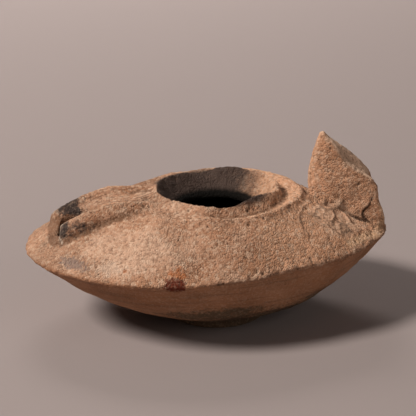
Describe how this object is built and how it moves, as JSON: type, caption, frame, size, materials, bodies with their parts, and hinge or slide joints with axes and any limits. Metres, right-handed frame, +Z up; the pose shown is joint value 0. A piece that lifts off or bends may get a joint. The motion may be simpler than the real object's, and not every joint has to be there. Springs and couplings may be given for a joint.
{
  "type": "oil lamp",
  "caption": "Hollow terracotta oil lamp with a wide rimmed filling hole, a ridged channel to the wick hole, an upright tongue handle and a low disc foot.",
  "frame": {"origin": "middle of the disc foot's flat underside, on the surface the lamp stands on, under the middle of the filling hole", "axes": "+X towards the handle, the wick hole at -X, +Y to the lamp's left seen from the wick end, +Z up"},
  "size_m": [0.101, 0.069, 0.0506],
  "materials": {
    "terracotta": "unglazed, worn, matt and sandy, with soot at the wick hole"
  },
  "bodies": {
    "root": {"lamp_body": "terracotta"}
  },
  "joints": []
}
